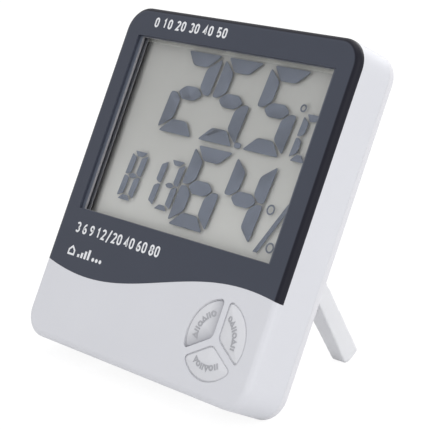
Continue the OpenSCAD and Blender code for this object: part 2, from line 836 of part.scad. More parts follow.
// A tube swept along a list of points, with flat ends
function heading(path, k) = unit(path[min(k + 1, len(path) - 1)] - path[max(k - 1, 0)]);
function square_to(t) = unit(cross(t, abs(t[2]) < 0.9 ? [0, 0, 1] : [0, 1, 0]));
module tube(path, r, sides) {
    rings = len(path);
    points = [for (k = [0 : rings - 1]) let (t = heading(path, k), a = square_to(t), b = cross(t, a))
        for (s = [0 : sides - 1]) path[k] + r * (cos(360 * s / sides) * a + sin(360 * s / sides) * b)];
    walls = [for (k = [0 : rings - 2], s = [0 : sides - 1]) let (n = (s + 1) % sides)
        [k * sides + s, (k + 1) * sides + s, (k + 1) * sides + n, k * sides + n]];
    low_end = [[for (s = [0 : sides - 1]) s]];
    high_end = [[for (s = [sides - 1 : -1 : 0]) (rings - 1) * sides + s]];
    polyhedron(points, concat(low_end, walls, high_end), convexity = 4);
}

module battery_spring() color("#c9ccd0") {
    wide_block(bay_half - snug_gap, bay_top - contact_t, contact_t, bay_floor, case_d - door_t - fit_gap);
    contact_tab(bay_top - contact_t, 0);
    low = cell_top + spring_wire_r + snug_gap;
    rise = bay_top - contact_t - spring_wire_r - low;
    steps = spring_turns * spring_steps;
    tube([for (k = [0 : steps]) let (s = k / steps, a = 360 * spring_turns * s,
        r = spring_low_r + (spring_high_r - spring_low_r) * s)
        [r * cos(a), cell_y + r * sin(a), low + rise * s]], spring_wire_r, spring_sides);
}

// A quarter bend of a lead from the origin, heading up and then forwards
module wire_quarter(r) {
    translate([0, -r, 0]) rotate([90, 0, 90]) rotate_extrude(angle = 90) translate([r, 0]) circle(r = wire_r);
}

// A lead from a contact's tab up beside the battery bay, and then to the board
module battery_lead(tab_z, end) {
    straight = end - wire_bend - tab_z - contact_t;
    translate([-wire_x, wire_y, tab_z + contact_t]) {
        cylinder(r = wire_r, h = straight);
        translate([0, 0, straight]) wire_quarter(wire_bend);
    }
}

// A lead from the buzzer round to the board below it
module buzzer_lead(x) {
    translate([x, wire_y, buzzer_at[1] - buzzer_wire_out - buzzer_bend]) {
        mirror([0, 1, 0]) wire_quarter(buzzer_bend);
        translate([0, 0, -buzzer_wire_len]) {
            cylinder(r = wire_r, h = buzzer_wire_len);
            mirror([0, 0, 1]) wire_quarter(wire_bend);
        }
    }
}

module lead_wires() color("#b23a33") {
    battery_lead(cell_low - contact_t, contact_wire_end);
    battery_lead(bay_top - contact_t, spring_wire_end);
    buzzer_lead(buzzer_at[0]);
    buzzer_lead(buzzer_at[0] + buzzer_wire_pitch);
}

// The stand seen from the side, folded: its rolling bar, its tapered leg and its sole
module leg_section() {
    circle(r = leg_root_t / 2);
    polygon([[-leg_root_t / 2, 0], [leg_root_t / 2, 0], foot_back, [-sole_in, -leg_len],
        [-foot_in, -leg_len + (foot_in - sole_in) * tan(leg_tilt)]]);
}

module stand() color("#cbccd0") {
    translate([0, hinge_y, hinge_up]) rotate([stand_open, 0, 0]) {
        intersection() {
            rotate([90, 0, 90]) linear_extrude(height = stand_foot_w + over, center = true) leg_section();
            slab(-leg_foot_t, leg_foot_t) stand_outline(0, leg_corner_r, 0);
        }
        rotate([0, 90, 0]) cylinder(r = pin_r, h = stand_root_w + 2 * pin_len, center = true);
        wide_block(heel_w / 2, 0, heel_len, heel_in, leg_root_t / 2);
    }
}

module case_screws() color("#a9acb0") {
    at_case_screws() {
        pillar(0, 0, screw_head_r, case_d - screw_head_t, case_d - snug_gap);
        pillar(0, 0, screw_r, case_d - screw_head_t - screw_len + fit_gap, case_d - screw_head_t);
    }
}

module board_screws() color("#a9acb0") {
    at_board_screws() {
        pillar(0, 0, small_head_r, board_back, board_back + small_head_t);
        pillar(0, 0, small_screw_r, board_back - small_screw_len, board_back);
    }
}

in_case() front_shell();
in_case() display_bezel();
in_case() display_window();
in_case() lcd_cell();
in_case() lcd_segments();
in_case() lcd_reflector();
in_case() lcd_holder();
in_case() zebra_strip();
in_case() main_board();
in_case() driver_chip();
in_case() crystal();
in_case() chip_parts();
in_case() humidity_sensor();
in_case() temperature_sensor();
in_case() buzzer_disc();
in_case() key_pad();
in_case() key(key_angles[0]);  // upper_left_key
in_case() key(key_angles[1]);  // right_key
in_case() key(key_angles[2]);  // lower_key
in_case() rear_cover();
in_case() battery_door();
in_case() battery_cell();
in_case() battery_spring();
in_case() battery_contact();
in_case() lead_wires();
in_case() stand();
in_case() case_screws();
in_case() board_screws();
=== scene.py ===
import json
import math

import bmesh
import bpy
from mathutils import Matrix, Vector
from mathutils.geometry import convex_hull_2d


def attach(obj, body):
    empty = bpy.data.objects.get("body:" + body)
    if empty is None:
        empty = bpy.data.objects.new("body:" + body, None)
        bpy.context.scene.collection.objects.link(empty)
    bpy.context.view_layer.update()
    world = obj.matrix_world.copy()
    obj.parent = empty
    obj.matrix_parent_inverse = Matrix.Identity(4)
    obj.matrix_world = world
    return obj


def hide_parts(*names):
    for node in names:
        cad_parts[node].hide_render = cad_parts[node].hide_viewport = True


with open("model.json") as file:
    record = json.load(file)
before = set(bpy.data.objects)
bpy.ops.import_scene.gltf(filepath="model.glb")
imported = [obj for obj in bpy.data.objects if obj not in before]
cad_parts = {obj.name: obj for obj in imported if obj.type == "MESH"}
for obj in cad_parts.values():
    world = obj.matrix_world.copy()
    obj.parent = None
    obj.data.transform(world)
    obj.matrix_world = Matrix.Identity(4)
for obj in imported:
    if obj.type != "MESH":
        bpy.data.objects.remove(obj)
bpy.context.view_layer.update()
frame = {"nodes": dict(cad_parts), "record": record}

MM = 0.001

# The case leans back, so places on it are given across the face (u), into the depth (d) and
# up the face (v), in millimetres from the middle of the front face
mounts = {m["name"]: m for m in frame["record"]["mounts"]}
ACROSS = Vector((1, 0, 0))
DEPTH = Vector(mounts["back_face"]["axis"]).normalized()
UP = ACROSS.cross(DEPTH)


def reach(node, axis):
    """Least and greatest place of a CAD node along an axis, in metres."""
    along = [v.co.dot(axis) for v in frame["nodes"][node].data.vertices]
    return min(along), max(along)


def middle(pair):
    return (pair[0] + pair[1]) / 2


FACE = (ACROSS * middle(reach("front_shell", ACROSS)) + DEPTH * reach("front_shell", DEPTH)[0]
        + UP * middle(reach("front_shell", UP)))


def place(u, d, v):
    """A point given on the case, in the row frame."""
    return FACE + (u * ACROSS + d * DEPTH + v * UP) * MM


def on_case(point):
    """A point of the row frame as u, d and v on the case."""
    p = (point - FACE) / MM
    return p.dot(ACROSS), p.dot(DEPTH), p.dot(UP)


def case_span(node, axis):
    """Least and greatest place of a CAD node along one of the case's directions, in millimetres."""
    low, high = reach(node, axis)
    return (low - FACE.dot(axis)) / MM, (high - FACE.dot(axis)) / MM


# Sizes taken from the CAD nodes. The clear window reaches under the bezel by WINDOW_LAND

WINDOW_LAND = 1.0
window_across = case_span("display_window", ACROSS)
window_up = case_span("display_window", UP)
WINDOW_HALF_W = (window_across[1] - window_across[0]) / 2 - WINDOW_LAND
WINDOW_HALF_H = (window_up[1] - window_up[0]) / 2 - WINDOW_LAND
WINDOW_MID = middle(window_up)
WINDOW_FRONT, WINDOW_BACK = case_span("display_window", DEPTH)
CELL_FRONT = case_span("lcd_cell", DEPTH)[0]
KEYS_U = middle((case_span("upper_left_key", ACROSS)[0], case_span("right_key", ACROSS)[1]))
KEYS_V = middle(case_span("key_pad", UP))


# Node trees of the finishes

BEVEL_SAMPLES = 4
BEND_GAIN = 6.0

# The colour sockets of Blender's Mix node
MIX_A, MIX_B, MIX_RESULT = 6, 7, 2


class Nodes:
    """A node tree, with short calls for the nodes that the finishes share."""

    def __init__(self, owner, output):
        self.owner = owner
        owner.use_nodes = True
        self.tree = owner.node_tree
        self.tree.nodes.clear()
        self.out = self.tree.nodes.new(output)

    def feed(self, socket, value):
        """Links a socket to another one, or sets its own number, vector or colour."""
        if isinstance(value, bpy.types.NodeSocket):
            self.tree.links.new(value, socket)
        elif socket.type == "RGBA":
            socket.default_value = (*value, 1)
        else:
            socket.default_value = value

    def add(self, kind, **inputs):
        """A new node, with its inputs given by name, and _ for each space."""
        node = self.tree.nodes.new(kind)
        for key, value in inputs.items():
            self.feed(node.inputs[key.replace("_", " ")], value)
        return node

    def math(self, operation, a, b=0.0, clamp=False):
        node = self.add("ShaderNodeMath")
        node.operation = operation
        node.use_clamp = clamp
        self.feed(node.inputs[0], a)
        self.feed(node.inputs[1], b)
        return node.outputs[0]

    def dot(self, a, b):
        node = self.add("ShaderNodeVectorMath")
        node.operation = "DOT_PRODUCT"
        self.feed(node.inputs[0], a)
        self.feed(node.inputs[1], b)
        return node.outputs["Value"]

    def place(self):
        return self.add("ShaderNodeTexCoord").outputs["Object"]

    def along(self, axis):
        """Distance along one of the case's directions from the middle of its face, in millimetres."""
        away = self.math("SUBTRACT", self.dot(self.place(), axis), FACE.dot(axis))
        return self.math("DIVIDE", away, MM)

    def ramp(self, value, start, width):
        """0 up to start, and then evenly up to 1 over a width."""
        return self.math("DIVIDE", self.math("SUBTRACT", value, start), width, clamp=True)

    def spread(self, value, low, high):
        """A value from 0 to 1, laid between low and high."""
        return self.add("ShaderNodeMapRange", Value=value, To_Min=low, To_Max=high).outputs["Result"]

    def noise(self, size_mm, detail=2.0, roughness=0.5):
        """Soft noise whose features are about size_mm wide, from 0 to 1."""
        node = self.add("ShaderNodeTexNoise", Vector=self.place(), Scale=1 / (size_mm * MM),
                        Detail=detail, Roughness=roughness)
        return node.outputs["Fac"]

    def mix(self, factor, a, b, blend="MIX"):
        node = self.add("ShaderNodeMix")
        node.data_type = "RGBA"
        node.blend_type = blend
        self.feed(node.inputs["Factor"], factor)
        self.feed(node.inputs[MIX_A], a)
        self.feed(node.inputs[MIX_B], b)
        return node.outputs[MIX_RESULT]

    def times(self, tone, by):
        return self.mix(1.0, tone, by, "MULTIPLY")

    def edges(self, radius_mm):
        """How far the surface bends within radius_mm, from 0 on the flat to 1, and its rounded normal."""
        bevel = self.add("ShaderNodeBevel", Radius=radius_mm * MM)
        bevel.samples = BEVEL_SAMPLES
        true = self.add("ShaderNodeNewGeometry").outputs["Normal"]
        bend = self.math("SUBTRACT", 1.0, self.dot(bevel.outputs["Normal"], true))
        return self.math("MULTIPLY", bend, BEND_GAIN, clamp=True), bevel.outputs["Normal"]

    def bump(self, height, depth_mm, normal=None):
        node = self.add("ShaderNodeBump", Height=height, Strength=1.0, Distance=depth_mm * MM)
        if normal is not None:
            self.feed(node.inputs["Normal"], normal)
        return node.outputs["Normal"]

    def mix_shaders(self, share, a, b):
        node = self.add("ShaderNodeMixShader")
        for socket, value in zip(node.inputs, (share, a.outputs[0], b.outputs[0])):
            self.feed(socket, value)
        return node

    def finish(self, shader):
        self.feed(self.out.inputs["Surface"], shader.outputs[0])
        return self.owner


def material_nodes(name):
    return Nodes(bpy.data.materials.new(name), "ShaderNodeOutputMaterial")


def scaled(colour, by):
    return tuple(min(1.0, c * by) for c in colour)


# Kinds of finish. A name in _MM is how wide the features of a noise are

CLOUD_MM = 18
FLECK_MM = 1.6
FLECK_TONE = 0.8
SMEAR_MM = 6
GLOSS_SPREAD = 0.05
EDGE_POLISH = 0.08


def moulded(name, colour, rough=0.45, cloud=0.02, grain_mm=0.35, grain_depth=0.004, edge_mm=0.25,
            edge_highlight=1.06, shade=None, specular=0.5):
    """A moulded plastic: faint clouding, a fine spark-eroded grain, edges worn a little smoother, and a
    painted highlight that lightens its edges.
    """
    n = material_nodes(name)
    tone = n.mix(n.noise(CLOUD_MM, 3), scaled(colour, 1 - cloud), scaled(colour, 1 + cloud))
    tone = n.mix(n.spread(n.noise(FLECK_MM), 0, cloud), tone, scaled(colour, FLECK_TONE))
    if shade is not None:
        tone = shade(n, tone)
    edge, soft = n.edges(edge_mm)
    # Painted highlight: the colour is lightened where the surface bends at an edge
    tone = n.mix(edge, tone, n.times(tone, (edge_highlight,) * 3))
    gloss = n.math("SUBTRACT", n.spread(n.noise(SMEAR_MM, 3), rough - GLOSS_SPREAD, rough + GLOSS_SPREAD),
                   n.math("MULTIPLY", edge, EDGE_POLISH))
    normal = n.bump(n.noise(grain_mm, 3, 0.6), grain_depth, soft)
    return n.finish(n.add("ShaderNodeBsdfPrincipled", Base_Color=tone, Roughness=gloss, Normal=normal,
                          Specular_IOR_Level=specular))


TARNISH_MM = 2.5
TARNISH_TONE = 0.82
BRUSH_MM = 0.12
BRUSH_DEPTH = 0.002
GLOSS_MM = 1.2
DULLER = 0.12
SMOOTHER = 0.08


def metal(name, colour, rough=0.3):
    """Drawn or plated metal with fine scratches and duller spots."""
    n = material_nodes(name)
    tone = n.mix(n.noise(TARNISH_MM, 4), scaled(colour, TARNISH_TONE), colour)
    gloss = n.spread(n.noise(GLOSS_MM, 3), rough - SMOOTHER, rough + DULLER)
    normal = n.bump(n.noise(BRUSH_MM), BRUSH_DEPTH)
    return n.finish(n.add("ShaderNodeBsdfPrincipled", Base_Color=tone, Roughness=gloss, Normal=normal,
                          Metallic=1.0))


WIPE_MM = 9
WIPE_ROUGH = 2.2
LOW_ANGLE_CURVE = 5.0


def clear_sheet(name, mirror, rough, tint):
    """A see-through sheet with faint smears, and a gloss of share mirror that grows at a low angle."""
    n = material_nodes(name)
    through = n.add("ShaderNodeBsdfTransparent", Color=tint)
    gloss = n.add("ShaderNodeBsdfAnisotropic", Color=(1, 1, 1),
                  Roughness=n.spread(n.noise(WIPE_MM, 3), rough, rough * WIPE_ROUGH))
    facing = n.add("ShaderNodeLayerWeight", Blend=0.5).outputs["Facing"]
    low_angle = n.math("POWER", facing, LOW_ANGLE_CURVE)
    share = n.math("ADD", mirror, n.math("MULTIPLY", low_angle, 1 - mirror))
    return n.finish(n.mix_shaders(share, through, gloss))


# Shades that belong to single finishes. Lengths are in millimetres


def window_distance(n):
    """How far a point lies inside the outline of the display window."""
    across = n.math("SUBTRACT", WINDOW_HALF_W, n.math("ABSOLUTE", n.along(ACROSS)))
    off_middle = n.math("ABSOLUTE", n.math("SUBTRACT", n.along(UP), WINDOW_MID))
    return n.math("MINIMUM", across, n.math("SUBTRACT", WINDOW_HALF_H, off_middle))


# Painted shade on the bezel: how far outside the window the border starts, and how deep behind the face it
# is painted dark
BORDER_OUT = 1.5
BORDER_FROM = 0.06
BORDER_RAMP = 0.14
BORDER_SHADE_TONE = (0.004, 0.004, 0.012)


def bezel_painted_shade(n, tone):
    """The bezel's face keeps its colour, and its border behind the face is painted nearly black as painted
    shade.
    """
    back = n.ramp(n.along(DEPTH), BORDER_FROM, BORDER_RAMP)
    border = n.math("LESS_THAN", window_distance(n), -BORDER_OUT)
    return n.mix(n.math("MULTIPLY", back, border), tone, BORDER_SHADE_TONE)


# The shade is deep at the left wall of the window and soft at the others. SHADE_LEFT and
# SHADE_ROUND are how far inside the window's outline it starts to clear, over SHADE_W
SHADE_W = 3.3
SHADE_LEFT = 0.5
SHADE_ROUND = -0.6
SHADE_DEEP = (0.04, 0.04, 0.045)
SHADE_SOFT = (0.88, 0.88, 0.88)
# Painted light: the reflector is darkened at the top and lightened low down by these factors
PAINTED_DIM_TOP = (0.82, 0.82, 0.82)
PAINTED_LIFT_LOW = (1.18, 1.18, 1.18)


def reflector_painted_light(n, tone):
    """Painted light: the reflector is darker at the top and lighter low down, and darker along its border,
    in the window's shade.
    """
    low = n.math("SUBTRACT", 1.0, n.ramp(n.along(UP), WINDOW_MID - WINDOW_HALF_H, 2 * WINDOW_HALF_H))
    tone = n.times(tone, n.mix(n.math("POWER", low, 2.0), PAINTED_DIM_TOP, PAINTED_LIFT_LOW))
    inside = n.ramp(window_distance(n), SHADE_ROUND, SHADE_W)
    tone = n.mix(inside, n.times(tone, SHADE_SOFT), tone)
    return n.mix(n.ramp(n.along(ACROSS), SHADE_LEFT - WINDOW_HALF_W, SHADE_W), SHADE_DEEP, tone)


# The rib's arms beside the key, in degrees, half its width, and the width of its shade
TROUGH_ARMS = (90, 210)
RIB_HALF = 1.3
TROUGH_W = 4.2
TROUGH_CURVE = 0.8
TROUGH_SHADE_TONE = (0.62, 0.62, 0.64)


def trough_painted_shade(n, tone):
    """Painted shade: the tilted upper left key is darkened where it lies in the shade of the rib's arms."""
    across = n.math("SUBTRACT", n.along(ACROSS), KEYS_U)
    up = n.math("SUBTRACT", n.along(UP), KEYS_V)
    away = []
    for turn in map(math.radians, TROUGH_ARMS):
        side = n.math("SUBTRACT", n.math("MULTIPLY", up, math.cos(turn)),
                      n.math("MULTIPLY", across, math.sin(turn)))
        away.append(n.math("ABSOLUTE", side))
    lit = n.math("POWER", n.ramp(n.math("MINIMUM", *away), RIB_HALF, TROUGH_W), TROUGH_CURVE)
    return n.mix(lit, n.times(tone, TROUGH_SHADE_TONE), tone)


# Tracks per metre, and their share of the width and of the colour
TRACK_SCALE = 220.0
TRACK_GAP = 0.06
TRACK_SHARE = 0.55
TRACK_TONE = (0.16, 0.33, 0.14)


def board_shade(n, tone):
    """Copper tracks under the green lacquer."""
    tracks = n.add("ShaderNodeTexBrick", Vector=n.place(), Scale=TRACK_SCALE, Mortar_Size=TRACK_GAP)
    lines = n.math("SUBTRACT", 1.0, tracks.outputs["Fac"])
    return n.mix(n.math("MULTIPLY", lines, TRACK_SHARE), tone, TRACK_TONE)


# Length of the cell's dark body, below its band
WRAP_BODY = 32
WRAP_BAND = (0.45, 0.28, 0.06)


def wrap_shade(n, tone):
    """The cell's wrap: a dark body and a metallic band near one end."""
    band = n.math("GREATER_THAN", n.along(UP), case_span("battery_cell", UP)[0] + WRAP_BODY)
    return n.mix(band, tone, WRAP_BAND)


LAYERS_PER_MM = 2.5
LAYER_TONE = (0.03, 0.03, 0.035)


def rubber_bands(n, tone):
    """Thin conducting layers across the rubber connector."""
    layer = n.math("FRACT", n.math("MULTIPLY", n.along(ACROSS), LAYERS_PER_MM))
    return n.mix(n.math("GREATER_THAN", layer, 0.5), tone, LAYER_TONE)


# Finishes by name

MOULDED = {
    "pale_plastic": dict(colour=(0.665, 0.672, 0.715), rough=0.42),
    "cover_plastic": dict(colour=(0.70, 0.70, 0.735), rough=0.5, grain_mm=0.5, grain_depth=0.008),
    # The bezel, with a strong painted highlight on its edges and painted shade on its border
    "dark_plastic": dict(colour=(0.050, 0.057, 0.080), rough=0.42, cloud=0.05, edge_highlight=1.3,
                         grain_depth=0.002, specular=0.25, shade=bezel_painted_shade),
    # Painted light: the step is the bezel's plastic, painted lighter where it lies in shade
    "step_plastic_painted_light": dict(colour=(0.100, 0.114, 0.150), rough=0.42, cloud=0.05),
    "key_plastic": dict(colour=(0.67, 0.675, 0.71), rough=0.4, edge_mm=0.15),
    # The key plastic again, with painted shade near the rib
    "key_tilted_painted_shade": dict(colour=(0.67, 0.675, 0.71), rough=0.4, edge_mm=0.15, shade=trough_painted_shade),
    # Painted shade: the raised marks are the keys' plastic, darker where their sides would be shaded
    "key_mark_painted_shade": dict(colour=(0.40, 0.405, 0.435), rough=0.5, edge_mm=0.15),
    # Painted highlight: pale lips on the window's step and seal stand in for the light caught by their edges
    "rim_painted_highlight": dict(colour=(0.26, 0.26, 0.28), rough=0.3, cloud=0.1),
    # Painted shade for the screws' cross-shaped hollows
    "recess": dict(colour=(0.10, 0.10, 0.105), rough=0.5),
    # The seal behind the window: dark rubber, its colour partly painted shade at the foot of the window's
    # wall
    "seal_rubber_and_shade": dict(colour=(0.10, 0.105, 0.125), rough=0.7, specular=0.1),
    "stand_plastic": dict(colour=(0.75, 0.755, 0.78), edge_mm=0.4),
    "display_ink": dict(colour=(0.148, 0.170, 0.225), rough=0.6, cloud=0.08, grain_depth=0.001),
    "reflector": dict(colour=(0.585, 0.58, 0.575), rough=0.55, grain_mm=0.12, grain_depth=0.002,
                      shade=reflector_painted_light),
    "white_plastic": dict(colour=(0.72, 0.72, 0.70), rough=0.5),
    "rubber": dict(colour=(0.10, 0.10, 0.11), rough=0.7, shade=rubber_bands),
    "board": dict(colour=(0.02, 0.12, 0.05), rough=0.4, shade=board_shade),
    "epoxy": dict(colour=(0.012, 0.012, 0.013), rough=0.3),
    "ceramic": dict(colour=(0.30, 0.20, 0.12), rough=0.4),
    "sensor_white": dict(colour=(0.75, 0.74, 0.70), rough=0.5),
    "cell_wrap": dict(colour=(0.05, 0.055, 0.06), rough=0.25, shade=wrap_shade),
    "wire_red": dict(colour=(0.45, 0.03, 0.02), rough=0.4),
    "white_print": dict(colour=(0.80, 0.81, 0.84), rough=0.5, cloud=0.03, grain_depth=0.001),
}
MATERIALS = {name: moulded(name, **recipe) for name, recipe in MOULDED.items()}
MATERIALS["steel"] = metal("steel", (0.62, 0.62, 0.63))
MATERIALS["brass"] = metal("brass", (0.70, 0.52, 0.25), 0.35)
MATERIALS["clear_window"] = clear_sheet("clear_window", 0.012, 0.06, (1.0, 1.0, 0.998))
MATERIALS["display_glass"] = clear_sheet("display_glass", 0.004, 0.08, (0.998, 1.0, 0.998))


# Mesh helpers. Outlines are (u, v) points on the case, in millimetres

ARC_POINTS = 20
LEAST_MITRE = 0.5


def shown(name, mesh, material):
    """Puts a mesh with its finish into the scene."""
    mesh.materials.append(material)
    obj = bpy.data.objects.new(name, mesh)
    bpy.context.scene.collection.objects.link(obj)
    return obj


def piece(name, bm, material, body, sharp=35):
    """Makes a shown piece of a bmesh whose points are in the row frame."""
    bmesh.ops.recalc_face_normals(bm, faces=bm.faces)
    mesh = bpy.data.meshes.new(name)
    bm.to_mesh(mesh)
    bm.free()
    mesh.shade_smooth()
    mesh.set_sharp_from_angle(angle=math.radians(sharp))
    obj = shown(name, mesh, MATERIALS[material])
    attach(obj, body)
    return obj


def prism(bm, outline, low, high, spot=place):
    """A closed plate, from depth low to depth high."""
    rings = [[bm.verts.new(spot(u, d, v)) for u, v in outline] for d in (low, high)]
    count = len(outline)
    for k in range(count):
        m = (k + 1) % count
        bm.faces.new((rings[0][k], rings[0][m], rings[1][m], rings[1][k]))
    bm.faces.new(rings[0][::-1])
    bm.faces.new(rings[1])


def strip(bm, inner, outer, low, high, closed, spot=place):
    """A closed band between two rows of points, from depth low to depth high."""
    rows = [[bm.verts.new(spot(u, d, v)) for u, v in line] for line in (inner, outer) for d in (low, high)]
    near_in, far_in, near_out, far_out = rows
    count = len(inner)
    for k in range(count if closed else count - 1):
        m = (k + 1) % count
        bm.faces.new((near_in[k], near_in[m], near_out[m], near_out[k]))
        bm.faces.new((far_in[k], far_out[k], far_out[m], far_in[m]))
        bm.faces.new((near_in[k], far_in[k], far_in[m], near_in[m]))
        bm.faces.new((near_out[k], near_out[m], far_out[m], far_out[k]))
    if not closed:
        bm.faces.new((near_in[0], near_out[0], far_out[0], far_in[0]))
        bm.faces.new((near_in[-1], far_in[-1], far_out[-1], near_out[-1]))


def arc(u, v, r, start=0.0, end=360.0, count=ARC_POINTS):
    """Points along an arc, without the last one on a full turn."""
    steps = count if abs(end - start) >= 360 else count - 1
    turns = [math.radians(start + (end - start) * k / steps) for k in range(count)]
    return [(u + r * math.cos(a), v + r * math.sin(a)) for a in turns]


def offset_line(points, away, closed):
    """The line's points moved sideways by away, with mitred corners."""
    moved = []
    count = len(points)
    for k, (u, v) in enumerate(points):
        before = Vector(points[k]) - Vector(points[k - 1]) if closed or k > 0 else None
        after = Vector(points[(k + 1) % count]) - Vector(points[k]) if closed or k < count - 1 else None
        before = (before or after).normalized()
        after = (after or before).normalized()
        normal = Vector((-(before.y + after.y), before.x + after.x)).normalized()
        widen = max(LEAST_MITRE, normal.dot(Vector((-after.y, after.x))))
        moved.append((u + normal.x * away / widen, v + normal.y * away / widen))
    return moved


class Print:
    """Flat generic marks, laid on a surface: bars, discs and stroked lines."""

    def __init__(self, low, high, spot=place):
        self.bm = bmesh.new()
        self.low = low
        self.high = high
        self.spot = spot

    def plate(self, outline):
        prism(self.bm, outline, self.low, self.high, self.spot)

    def bar(self, u, v, w, h):
        self.plate([(u, v), (u + w, v), (u + w, v + h), (u, v + h)])

    def disc(self, u, v, r):
        self.plate(arc(u, v, r))

    def line(self, points, width, closed=False):
        points = [tuple(p) for p in points]
        inner = offset_line(points, -width / 2, closed)
        outer = offset_line(points, width / 2, closed)
        strip(self.bm, inner, outer, self.low, self.high, closed, self.spot)


# Printed marks on the bezel: plain numbers and pictograms in the places of the print.
# A row is given by its left end, its foot and its height, and a house by its middle instead

PRINT_T = 0.03
PRINT_SINK = 0.005
STROKE = 0.62
DIGIT_GAP = 0.5
TOP_ROW = (-37.0, 47.8, 3.2)
TOP_SPACE = 1.9
LOW_ROW = (-41.0, -20.0, 3.4)
LOW_SPACE = 1.35
SLASH = ((0.9, -0.3), (2.2, 3.7))
AFTER_SLASH = 3.1
HOUSE_ROW = (-39.4, -27.2, 3.2)
HOUSE_HALF = 0.42
HOUSE_WALL = 0.5
HOUSE_PEAK = 0.7
BARS = 4
BARS_U = -36.2
BAR_STEP = 1.6
BAR_W = 1.0
BAR_LOW = 0.95
BAR_GROW = 0.75
DOTS = 3
DOTS_U = -28.5
DOT_STEP = 1.75
DOT_UP = 0.65
DOT_R = 0.62
TAIL = ((1.75, 3.85), (1.15, 3.75), (0.55, 3.2), (0.15, 2.2), (0, 1))


def numeral(p, digit, u, v, h):
    """One of the digits in use, stroked, with its lower left corner at (u, v). It returns its width."""
    r = (h - STROKE) / 4

    def at(x, y):
        """A point on the digit's grid, which is 2 wide and 4 high."""
        return u + STROKE / 2 + r * x, v + STROKE / 2 + r * y

    def bow(x, y, size, *turn):
        return arc(*at(x, y), size * r, *turn)

    loops = {
        "0": [bow(1, 3, 1, 0, 180, 11) + bow(1, 1, 1, 180, 360, 11)],
        "6": [bow(1, 1, 1, 0, 360, 18)],
        "8": [bow(1, 3, 0.93, 0, 360, 18), bow(1, 1, 1.07, 0, 360, 18)],
        "9": [bow(1, 3, 1, 0, 360, 18)],
    }
    strokes = {
        "1": [[at(0.2, 3.2), at(1, 4), at(1, 0)]],
        "2": [bow(1, 3, 1, 165, -35, 11) + [at(0, 0), at(2, 0)]],
        "3": [bow(1, 3, 1, 155, -80, 13), bow(1, 1, 1, 80, -155, 13)],
        "4": [[at(1.5, 0), at(1.5, 4), at(0, 1.1), at(2.2, 1.1)]],
        "5": [[at(1.9, 4), at(0.25, 4), at(0.1, 2)] + bow(0.95, 1.15, 1.15, 115, -150, 13)],
        "6": [[at(x, y) for x, y in TAIL]],
        "9": [[at(2 - x, 4 - y) for x, y in TAIL]],
    }
    for line in loops.get(digit, []):
        p.line(line, STROKE, closed=True)
    for line in strokes.get(digit, []):
        p.line(line, STROKE)
    return 2 * r + STROKE


def numbers(p, u, v, h, words, space):
    """A row of plain numbers. It returns where the row ends."""
    for word in words.split():
        for digit in word:
            u += numeral(p, digit, u, v, h) + DIGIT_GAP
        u += space - DIGIT_GAP
    return u - space


def house(p, u, v, h):
    """A small house outline about the line u."""
    half, foot = h * HOUSE_HALF, v + STROKE / 2
    p.line([(u - half, foot), (u - half, v + h * HOUSE_WALL), (u, v + h - STROKE * HOUSE_PEAK),
            (u + half, v + h * HOUSE_WALL), (u + half, foot)], STROKE, closed=True)


def print_marks():
    p = Print(-PRINT_T, PRINT_SINK)
    numbers(p, *TOP_ROW, "0 10 20 30 40 50", TOP_SPACE)
    ends = numbers(p, *LOW_ROW, "3 6 9 12", LOW_SPACE)
    foot = LOW_ROW[1]
    p.line([(ends + x, foot + y) for x, y in SLASH], STROKE)
    numbers(p, ends + AFTER_SLASH, *LOW_ROW[1:], "20 40 60 80", LOW_SPACE)
    house(p, *HOUSE_ROW)
    foot = HOUSE_ROW[1]
    for k in range(BARS):
        p.bar(BARS_U + BAR_STEP * k, foot, BAR_W, BAR_LOW + BAR_GROW * k)
    for k in range(DOTS):
        p.disc(DOTS_U + DOT_STEP * k, foot + DOT_UP, DOT_R)
    piece("bezel_print", p.bm, "white_print", "case")


print_marks()


# Keys, each with the turn of its middle about the ring of keys. The upper left one is tilted

KEY_TURNS = {"upper_left_key": 150, "right_key": 30, "lower_key": 270}
TILTED_KEY = "upper_left_key"
# Radius of the keys' outer arc
KEYS_R = 11.3
# A CAD key's points in front of this depth are its top
KEY_TOP_DEPTH = 1.5
# Depths where the cap's skirt ends and where its flange lies, and how far the flange reaches out
KEY_SKIRT = 1.3
KEY_FLANGE = 0.24
TILTED_FLANGE = 0.03
KEY_GAP = 0.2
# How far the top stands proud at its edge and in its middle, and how far in the dome goes on rising
KEY_EDGE_RISE = 0.05
KEY_RISE = 0.55
KEY_BAND = 3.2
# How far the tilted key's top falls at the hub
KEY_SINK = 1.1
KEY_ROUND = 0.6
KEY_ROUND_STEPS = 5
KEY_STEP = 0.4
KEY_RINGS = 16
KEY_SHARP = 60

# The generic marks on a key: rings, pairs of bars and triangles, along an arc of radius MARKS_R
MARKS = 6
MARKS_R = 7.9
MARKS_TURN = 13.0
MARK_RAISE = 0.13
MARK_SINK = 0.1
MARK_STROKE = 0.42
MARK_BAR_W = 0.44
RING_R = 0.64
PAIR_HALF = 0.42
PAIR_REACH = 0.88
TRIANGLE_TIP = 0.72
TRIANGLE_FOOT = 0.6
TRIANGLE_HALF = 0.7


def key_top_outline(node):
    """The key's outline, anticlockwise."""
    spots = [on_case(v.co) for v in frame["nodes"][node].data.vertices]
    near = sorted({(round(u, 3), round(v, 3)) for u, d, v in spots if d < KEY_TOP_DEPTH})
    ring = [Vector(near[k]) for k in convex_hull_2d(near)]
    turn = sum(a.x * b.y - a.y * b.x for a, b in zip(ring, ring[1:] + ring[:1]))
    return ring if turn > 0 else ring[::-1]


def refine(ring, step):
    """The same outline with a point at least every step millimetres."""
    fine = []
    for k, a in enumerate(ring):
        b = ring[(k + 1) % len(ring)]
        parts = max(1, math.ceil((b - a).length / step))
        fine += [a.lerp(b, m / parts) for m in range(parts)]
    return fine


